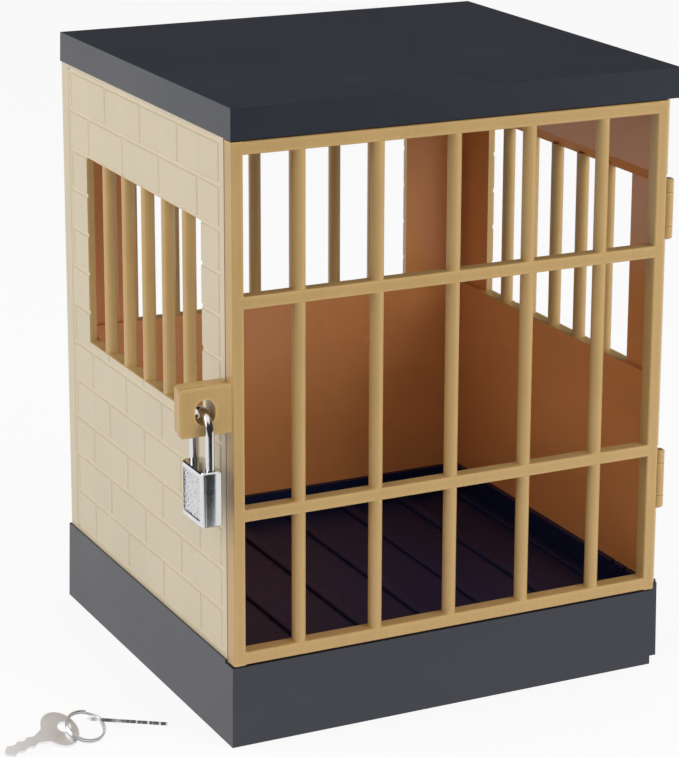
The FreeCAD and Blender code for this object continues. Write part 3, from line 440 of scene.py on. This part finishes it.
def door_plastic():
    """Golden tan ABS, injection moulded and polished by handling: satin bars and rails with
    soft streaks along the flow of the plastic, and edges painted paler as a painted highlight."""
    material, tree = new_material("Moulded ABS door gold")
    props = plastics()
    place = object_place(tree)
    # Flow streaks, 1.2 mm wide and 40 mm long, upright as the bars
    streak = streaks(tree, place, (800.0, 800.0, 25.0), 3.0)
    # Clouds about 18 mm across, and moulding grit of 0.4 mm
    cloud = noise(tree, place, 55.0, 3.0)
    grit = noise(tree, place, 2400.0, 2.0)
    # Painted highlight: the edges are painted paler, for light shining through the thin plastic at
    # the edges
    edge_highlight = near_edge(tree, EDGE_REACH)
    level = plus(tree, 0.84, (streak, 0.12), (cloud, 0.16), (edge_highlight, 0.26))
    close_principled(tree, {
        "Base Color": scaled(tree, (*props.door_gold,), level),
        "Roughness": plus(tree, 0.28, (cloud, 0.14)), "IOR": ABS_IOR,
        "Normal": bumped(tree, plus(tree, grit, (streak, 1.5)), DOOR_GRAIN, 0.7)})
    return material


def deck_mask(tree, place):
    """1 where the cabinet's floor lies inside the walls, 0 on the rest of the plinth."""
    x, y, z = parted(tree, place)
    front, back = FLOOR_Y
    inside_x = maths(tree, "LESS_THAN", maths(tree, "ABSOLUTE", x), FLOOR_X)
    inside_y = maths(tree, "COMPARE", y, (front + back) / 2, (back - front) / 2)
    above = maths(tree, "GREATER_THAN", z, FLOOR_Z)
    return maths(tree, "MULTIPLY", maths(tree, "MULTIPLY", inside_x, inside_y), above)


def black_plastic(name, gloss_floor):
    """Blue-black ABS, injection moulded with a fine spark-eroded skin: a satin face that
    goes pale at a glancing angle; the cabinet floor is left glossy from the tool and painted navy,
    a painted blue cast of the light falling in through the windows."""
    material, tree = new_material(name)
    place = object_place(tree)
    cloud = noise(tree, place, 28.0, 4.0)
    # Spark-eroded grit, 0.5 mm
    relief = noise(tree, place, 2000.0, 2.0)
    # Hairline scuffs, 0.3 mm wide and about 20 mm long
    scuff = streaks(tree, place, (60.0, 45.0, 3000.0), 4.0, Distortion=0.4)
    scuffed = ramp(tree, scuff, (0.62, 0.80))
    level = plus(tree, 0.85, (scuffed, 0.15), (cloud, 0.30))
    rough = plus(tree, 0.30, (cloud, 0.12), (scuffed, 0.15))
    inputs = {"IOR": ABS_IOR}
    colour = scaled(tree, (*plastics().black,), level)
    if gloss_floor:
        floor = deck_mask(tree, place)
        rough = mixed(tree, floor, rough, plus(tree, 0.24, (cloud, 0.08)))
        # Painted light: the floor is tinted navy for the blue light falling in through the windows
        colour = tint(tree, floor, colour, linear(FLOOR_BLUE_CAST))
        skin = maths(tree, "SUBTRACT", 1.0, maths(tree, "MULTIPLY", floor, 0.9))
        relief = maths(tree, "MULTIPLY", relief, skin)
        inputs["Specular IOR Level"] = plus(tree, 0.5, (floor, -0.38))
    close_principled(tree, {
        "Base Color": colour, "Roughness": rough,
        "Normal": bumped(tree, relief, BLACK_GRAIN, 0.6), **inputs})
    return material


def nickel_steel(name, finish, hammered=False):
    """Nickel-plated mild steel, tumbled bright: a clear mirror softened by handling haze;
    the padlock's plates are struck with a hammered field inside a plain border, and its
    narrow sides are crowned."""
    material, tree = new_material(name)
    level_low, matt = finish
    place = object_place(tree)
    haze = noise(tree, place, 260.0, 4.0)
    # Fine brushing, 0.15 mm lines
    brushed = streaks(tree, place, (600.0, 600.0, 7000.0), 2.0)
    rough = plus(tree, matt, (brushed, 0.05), (haze, 0.12))
    level = plus(tree, level_low, (haze, 0.14))
    relief = maths(tree, "MULTIPLY", brushed, 0.08)
    if hammered:
        # Hammer dimples about 0.9 mm across
        cells = put(tree, "ShaderNodeTexVoronoi", {"Vector": place, "Scale": 1100.0},
                    feature="SMOOTH_F1").outputs[0]
        from_x, from_y, from_z = (distance(tree, axis, middle)
                                  for axis, middle in zip(parted(tree, place), LOCK_MIDDLE))
        in_face = maths(tree, "MULTIPLY", maths(tree, "LESS_THAN", from_y, FIELD_HALF[0]),
                        maths(tree, "LESS_THAN", from_z, FIELD_HALF[1]))
        in_depth = maths(tree, "COMPARE", from_x, FIELD_X, FIELD_PLAY)
        field = maths(tree, "MULTIPLY", in_face, in_depth)
        relief = plus(tree, relief, (maths(tree, "MULTIPLY", cells, field), DIMPLE_DEEP))
        rough = plus(tree, rough, (field, 0.10))
        level = plus(tree, level, (field, -0.08))
        # The crown falls off by the square of the way from a side's middle to its rounding
        narrow = maths(tree, "GREATER_THAN", from_y, LOCK_SIDE_Y)
        way = maths(tree, "POWER", maths(tree, "DIVIDE", from_x, CROWN_HALF), 2.0)
        relief = plus(tree, relief, (maths(tree, "MULTIPLY", way, -CROWN_RISE), narrow))
    close_principled(tree, {
        "Base Color": scaled(tree, (*hardware().nickel,), level), "Metallic": 1.0,
        "Roughness": rough, "Normal": bumped(tree, relief, METAL_GRAIN, 1.0)})
    return material


def worked_metal(name, hex_colour, roughness, tool_lines):
    """A plain worked metal: even colour with fine tool lines and slight tarnish."""
    material, tree = new_material(name)
    place = object_place(tree)
    tarnish = noise(tree, place, 400.0, 4.0)
    tool = streaks(tree, place, (tool_lines, tool_lines, tool_lines * 6), 2.0)
    level = plus(tree, 0.82, (tarnish, 0.3))
    close_principled(tree, {
        "Base Color": scaled(tree, linear3(hex_colour), level), "Metallic": 1.0,
        "Roughness": plus(tree, roughness - 0.1, (tarnish, 0.2)),
        "Normal": bumped(tree, tool, 0.01 * MM, 0.6)})
    return material


def new_growth(name, lengths):
    """A Geometry Nodes tree with a geometry input, one distance input for each name, and
    an output; gives the tree and its input node."""
    tree = bpy.data.node_groups.new(name, "GeometryNodeTree")
    tree.interface.new_socket("Geometry", in_out="OUTPUT", socket_type="NodeSocketGeometry")
    tree.interface.new_socket("Geometry", in_out="INPUT", socket_type="NodeSocketGeometry")
    for key in lengths:
        socket = tree.interface.new_socket(key, in_out="INPUT", socket_type="NodeSocketFloat")
        socket.subtype = "DISTANCE"
    return tree, tree.nodes.new("NodeGroupInput")


def end_growth(tree, geometry, material):
    """Ends a tree: smooth shading, instances made real, then one material."""
    smooth = put(tree, "GeometryNodeSetShadeSmooth", {"Geometry": geometry}).outputs[0]
    real = put(tree, "GeometryNodeRealizeInstances", {0: smooth}).outputs[0]
    painted = put(tree, "GeometryNodeSetMaterial", {"Geometry": real, "Material": material})
    put(tree, "NodeGroupOutput", {0: painted.outputs[0]})


def grown(name, start, tree, lengths):
    """A plain object with the mesh that a tree makes from a start mesh."""
    scene = bpy.context.scene
    seed = bpy.data.objects.new(name + "_seed", start)
    scene.collection.objects.link(seed)
    modifier = seed.modifiers.new("Growth", "NODES")
    modifier.node_group = tree
    for item in tree.interface.items_tree:
        if item.in_out == "INPUT" and item.name in lengths:
            modifier[item.identifier] = lengths[item.name]
    seed.update_tag()
    bpy.context.view_layer.update()
    depsgraph = bpy.context.evaluated_depsgraph_get()
    mesh = bpy.data.meshes.new_from_object(seed.evaluated_get(depsgraph), depsgraph=depsgraph)
    seed.modifiers.remove(modifier)
    bpy.data.objects.remove(seed)
    piece = bpy.data.objects.new(name, mesh)
    scene.collection.objects.link(piece)
    return piece


def loose_points(name, points=()):
    """A mesh of loose points to start a tree from."""
    mesh = bpy.data.meshes.new(name)
    mesh.from_pydata([tuple(point) for point in points], [], [])
    return mesh


def ring_tree(material):
    """Split ring: round wire swept round nearly twice, with one short step between the two
    turns, which lie flat on each other."""
    tree, given = new_growth("Split ring", ("Radius", "Wire radius", "Turn pitch"))
    radius = given.outputs["Radius"]
    coil = put(tree, "GeometryNodeCurveSpiral", {
        "Resolution": 96, "Rotations": RING_TURNS, "Start Radius": radius,
        "End Radius": radius, "Height": 0.0}).outputs[0]
    share = put(tree, "GeometryNodeSplineParameter").outputs["Factor"]
    step = ramp(tree, share, (0.5 - RING_STEP, 0.5 + RING_STEP), -0.5, 0.5, smooth=True)
    height = maths(tree, "MULTIPLY", step, given.outputs["Turn pitch"])
    path = put(tree, "GeometryNodeSetPosition",
               {"Geometry": coil, "Offset": joined(tree, z=height)}).outputs[0]
    section = put(tree, "GeometryNodeCurvePrimitiveCircle",
                  {"Resolution": 20, "Radius": given.outputs["Wire radius"]}).outputs[0]
    wire = put(tree, "GeometryNodeCurveToMesh",
               {"Curve": path, "Profile Curve": section, "Fill Caps": True}).outputs[0]
    end_growth(tree, wire, material)
    return tree


def rivet_tree(material):
    """Rivets: a domed head on a short shank at each start point, its axis along X."""
    tree, given = new_growth("Rivets",
                             ("Head radius", "Head height", "Shank radius", "Shank length"))
    radius = given.outputs["Head radius"]
    ball = put(tree, "GeometryNodeMeshUVSphere",
               {"Segments": 28, "Rings": 16, "Radius": 1.0}).outputs[0]
    size = joined(tree, radius, radius, given.outputs["Head height"])
    head = put(tree, "GeometryNodeTransform", {"Geometry": ball, "Scale": size}).outputs[0]
    shank = put(tree, "GeometryNodeMeshCylinder", {
        "Vertices": 24, "Radius": given.outputs["Shank radius"],
        "Depth": given.outputs["Shank length"]}).outputs[0]
    rivet = tree.nodes.new("GeometryNodeJoinGeometry")
    for form in (shank, head):
        tree.links.new(form, rivet.inputs[0])
    turned = put(tree, "GeometryNodeTransform", {
        "Geometry": rivet.outputs[0], "Rotation": (0.0, math.pi / 2, 0.0)}).outputs[0]
    placed = put(tree, "GeometryNodeInstanceOnPoints", {
        "Points": given.outputs["Geometry"], "Instance": turned}).outputs[0]
    end_growth(tree, placed, material)
    return tree


def soften(names, width):
    """Rounds the sharp edges of carried-over nodes a little, so that they catch the light."""
    for name in names:
        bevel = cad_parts[name].modifiers.new("Soft edges", "BEVEL")
        bevel.width = width
        bevel.segments = 2
        bevel.limit_method = "ANGLE"
        bevel.angle_limit = math.radians(40)
        bevel.harden_normals = True


def dress(names, material):
    """Gives carried-over nodes one material."""
    for name in names:
        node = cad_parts[name]
        node.data.materials.clear()
        node.data.materials.append(material)


class CELLBOX_OT_panels(bpy.types.Operator):
    """Finish the three brick panels in tan plastic, with a painted pale sheen outside and painted
    bounce light inside
    """

    bl_idname = "cellbox.panels"
    bl_label = "Brick panels"

    def execute(self, context):
        side = wall_plastic("Moulded ABS brick sides", SIDE_WINDOW)
        dress(("left_panel", "right_panel"), side)
        dress(("back_panel",), wall_plastic("Moulded ABS brick back", BACK_WINDOW, back=True))
        return {"FINISHED"}


class CELLBOX_OT_door(bpy.types.Operator):
    """Finish the barred door in golden plastic"""

    bl_idname = "cellbox.door"
    bl_label = "Barred door"

    def execute(self, context):
        dress(("door_grille",), door_plastic())
        soften(("door_grille",), MOULD_EDGE)
        return {"FINISHED"}


class CELLBOX_OT_black_parts(bpy.types.Operator):
    """Finish the roof, the plinth and its cover in blue-black plastic"""

    bl_idname = "cellbox.black_parts"
    bl_label = "Roof and plinth"

    def execute(self, context):
        dress(("roof", "base_cover"), black_plastic("Moulded ABS black", False))
        dress(("base_plinth",), black_plastic("Moulded ABS black with glossy floor", True))
        soften(("roof", "base_plinth"), MOULD_EDGE)
        return {"FINISHED"}


class CELLBOX_OT_fixings(bpy.types.Operator):
    """Finish the screws, hinge pins and the padlock's inner works"""

    bl_idname = "cellbox.fixings"
    bl_label = "Fixings and lock works"

    def execute(self, context):
        for name, hex_colour, roughness, tool_lines, nodes in WORKED_METALS:
            dress(nodes, worked_metal(name, hex_colour, roughness, tool_lines))
        return {"FINISHED"}


class CELLBOX_OT_padlock(bpy.types.Operator):
    """Finish the padlock's case and shackle in nickel plate, with domed rivet heads"""

    bl_idname = "cellbox.padlock"
    bl_label = "Padlock"

    def execute(self, context):
        dress(("lock_shell_outer", "lock_shell_inner", "lock_rivets"),
              nickel_steel("Nickel plated steel hammered", BRIGHT, hammered=True))
        plain = nickel_steel("Nickel plated steel", BRIGHT)
        dress(("lock_shackle",), plain)
        props = hardware()
        low, high = (Vector(corner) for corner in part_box("lock_rivets"))
        # The heads' tops lie at the box's X faces, their rims one head radius inside its others
        places = [(x, y, z)
                  for x in (low.x + props.rivet_height, high.x - props.rivet_height)
                  for y in (low.y + RIVET_BOX_R, high.y - RIVET_BOX_R)
                  for z in (low.z + RIVET_BOX_R, high.z - RIVET_BOX_R)]
        rivets = grown("rivets", loose_points("Rivet seats", places), rivet_tree(plain), {
            "Head radius": props.rivet_radius, "Head height": props.rivet_height,
            "Shank radius": SHANK_R, "Shank length": SHANK_L})
        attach(rivets, "lock_case")
        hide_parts("lock_rivets")
        return {"FINISHED"}


class CELLBOX_OT_keys(bpy.types.Operator):
    """Finish the two keys and their split ring in nickel plate"""

    bl_idname = "cellbox.keys"
    bl_label = "Keys and ring"

    def execute(self, context):
        keys = ("key_leaning", "key_lying")
        dress(keys, nickel_steel("Nickel plated key steel satin", SATIN))
        plain = nickel_steel("Nickel plated ring wire", BRIGHT)
        dress(("key_ring",), plain)
        soften(keys, KEY_EDGE)
        props = hardware()
        ring = grown("split_ring", loose_points("Ring start"), ring_tree(plain), {
            "Radius": props.ring_radius, "Wire radius": props.ring_wire,
            "Turn pitch": RING_PITCH})
        across = RING_SIDE.cross(RING_UP)
        lie = Matrix((RING_SIDE, RING_UP, across)).transposed().to_4x4()
        ring.data.transform(Matrix.Translation(RING_CENTRE) @ lie)
        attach(ring, "ring")
        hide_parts("key_ring")
        return {"FINISHED"}


def room_sky(tree, level):
    """Strength of the world: white where the background is seen straight or through glass,
    a white backdrop and a dark room for mirrors, and an even level for all other light."""
    path = put(tree, "ShaderNodeLightPath")
    _, back, up = parted(tree, object_place(tree))
    # The backdrop stands behind the table and ends 1 to 3 degrees above the horizon; a
    # white ceiling starts 40 to 50 degrees above it
    low = ramp(tree, up, BACKDROP_TOP, 1.0, 0.0, smooth=True)
    behind = ramp(tree, back, BACKDROP_NEAR)
    ceiling = ramp(tree, up, CEILING_EDGE)
    bright = maths(tree, "MAXIMUM", maths(tree, "MULTIPLY", low, behind), ceiling)
    mirrored = plus(tree, ROOM_DARK, (bright, 1.0 - ROOM_DARK))
    strength = mixed(tree, path.outputs["Is Glossy Ray"], level, mirrored)
    shown = maths(tree, "MAXIMUM", path.outputs["Is Camera Ray"],
                  path.outputs["Is Transmission Ray"])
    return mixed(tree, shown, strength, 1.0)


def white_shown(tree):
    """1 for rays that show the background: seen straight, mirrored or through glass."""
    path = put(tree, "ShaderNodeLightPath")
    seen = maths(tree, "ADD", path.outputs["Is Camera Ray"], path.outputs["Is Glossy Ray"])
    seen = maths(tree, "ADD", seen, path.outputs["Is Transmission Ray"])
    return maths(tree, "MINIMUM", seen, 1.0)


def table_top():
    """A white table that keeps the object's soft shadow; its front edge is near, so that
    upright metal mirrors the dark room in front of it between two bright flanks."""
    mesh = bpy.data.meshes.new("Table")
    corners = [(-TABLE_SIDE, TABLE_FRONT, 0), (TABLE_TURN, TABLE_FRONT, 0),
               (TABLE_SIDE, TABLE_FRONT - TABLE_SIDE + TABLE_TURN, 0),
               (TABLE_SIDE, TABLE_BACK, 0), (-TABLE_SIDE, TABLE_BACK, 0)]
    mesh.from_pydata(corners, [], [(0, 1, 2, 3, 4)])
    table = bpy.data.objects.new("Table", mesh)
    bpy.context.scene.collection.objects.link(table)
    # Matt white paint: it keeps the shadow, and the glow holds it at the background's white
    material, tree = new_material("White table")
    paint = (TABLE_WHITE, TABLE_WHITE, TABLE_WHITE, 1.0)
    matt = put(tree, "ShaderNodeBsdfDiffuse", {"Color": paint})
    glow = put(tree, "ShaderNodeEmission", {"Color": (1, 1, 1, 1), "Strength": 1.0})
    share = maths(tree, "MULTIPLY", white_shown(tree), TABLE_GLOW)
    close_material(tree, put(tree, "ShaderNodeMixShader",
                             {0: share, 1: matt.outputs[0], 2: glow.outputs[0]}))
    table.data.materials.append(material)


def white_room(level):
    """A world that shows white and lights the object evenly from all round."""
    world = bpy.data.worlds.new("White room")
    world.use_nodes = True
    tree = world.node_tree
    tree.nodes.clear()
    sky = put(tree, "ShaderNodeBackground",
              {"Color": (1, 1, 1, 1), "Strength": room_sky(tree, level)})
    put(tree, "ShaderNodeOutputWorld", {"Surface": sky.outputs[0]})
    return world


def soft_light(name, place, power):
    """A square lamp turned to the object."""
    lamp = bpy.data.lights.new(name, "AREA")
    lamp.shape = "SQUARE"
    lamp.size = LIGHT_SIZE
    lamp.energy = power
    thing = bpy.data.objects.new(name, lamp)
    bpy.context.scene.collection.objects.link(thing)
    place = Vector(place)
    thing.location = place
    thing.rotation_euler = (Vector(LIGHT_AIM) - place).to_track_quat("-Z", "Y").to_euler()
    return thing


def photo_camera(lens):
    """The camera that took the photograph. Its picture's middle lies off the point that it
    faces, so the lens is shifted by as much."""
    data = bpy.data.cameras.new("Camera")
    data.sensor_fit = "AUTO"
    data.sensor_width = SENSOR_MM
    data.lens = lens
    data.shift_x = (PHOTO_W / 2 - FACED_X) / PHOTO_H
    data.shift_y = (FACED_Y - PHOTO_H / 2) / PHOTO_H
    data.clip_start, data.clip_end = CLIP_RANGE
    camera = bpy.data.objects.new("Camera", data)
    bpy.context.scene.collection.objects.link(camera)
    azimuth, elevation, roll = (math.radians(angle) for angle in CAMERA_ANGLES)
    ahead = Vector((math.sin(azimuth) * math.cos(elevation),
                    math.cos(azimuth) * math.cos(elevation), -math.sin(elevation)))
    right = Vector((math.cos(azimuth), -math.sin(azimuth), 0))
    above = right.cross(ahead)
    right, above = (right * math.cos(roll) + above * math.sin(roll),
                    above * math.cos(roll) - right * math.sin(roll))
    turn = Matrix((right, above, -ahead)).transposed().to_4x4()
    camera.matrix_world = Matrix.Translation(CAMERA_PLACE) @ turn
    return camera


class CELLBOX_OT_stage(bpy.types.Operator):
    """Set the white table, the soft light and the camera"""

    bl_idname = "cellbox.stage"
    bl_label = "Table, light and camera"

    def execute(self, context):
        props = stage_props()
        scene = context.scene
        table_top()
        scene.world = white_room(props.world_level)
        soft_light("Side light", SIDE_LIGHT, props.key_power)
        front = soft_light("Front light", FRONT_LIGHT, props.front_power)
        # Hidden from mirrors, so that it leaves no pale patch on the roof and the plinth
        front.visible_glossy = False
        scene.camera = photo_camera(props.lens)
        scene.view_settings.view_transform = "Standard"
        return {"FINISHED"}


class CELLBOX_PT_parts(bpy.types.Panel):
    """Lists the box's operators and values."""

    bl_idname = "CELLBOX_PT_parts"
    bl_label = "Lock box"
    bl_space_type = "VIEW_3D"
    bl_region_type = "UI"
    bl_category = "Lock box"

    def draw(self, context):
        for group in (plastics(), hardware(), stage_props()):
            for name in group.bl_rna.properties.keys():
                if name not in ("rna_type", "name"):
                    self.layout.prop(group, name)
        for step in STEPS:
            self.layout.operator(step.bl_idname)


STEPS = (CELLBOX_OT_panels, CELLBOX_OT_door, CELLBOX_OT_black_parts, CELLBOX_OT_fixings,
         CELLBOX_OT_padlock, CELLBOX_OT_keys, CELLBOX_OT_stage)
GROUPS = {"cell_box_plastics": CellBoxPlastics, "cell_box_hardware": CellBoxHardware,
          "cell_box_stage": CellBoxStage}


def register():
    """Adds the values, the operators and the panel to Blender."""
    for name, group in GROUPS.items():
        bpy.utils.register_class(group)
        setattr(bpy.types.Scene, name, bpy.props.PointerProperty(type=group))
    for step in STEPS:
        bpy.utils.register_class(step)
    bpy.utils.register_class(CELLBOX_PT_parts)


def unregister():
    """Takes them out again, in the opposite order."""
    bpy.utils.unregister_class(CELLBOX_PT_parts)
    for step in reversed(STEPS):
        bpy.utils.unregister_class(step)
    for name, group in GROUPS.items():
        delattr(bpy.types.Scene, name)
        bpy.utils.unregister_class(group)


def main():
    """Runs every operator once."""
    register()
    for step in STEPS:
        group, action = step.bl_idname.split(".")
        getattr(getattr(bpy.ops, group), action)()


if __name__ == "__main__":
    main()
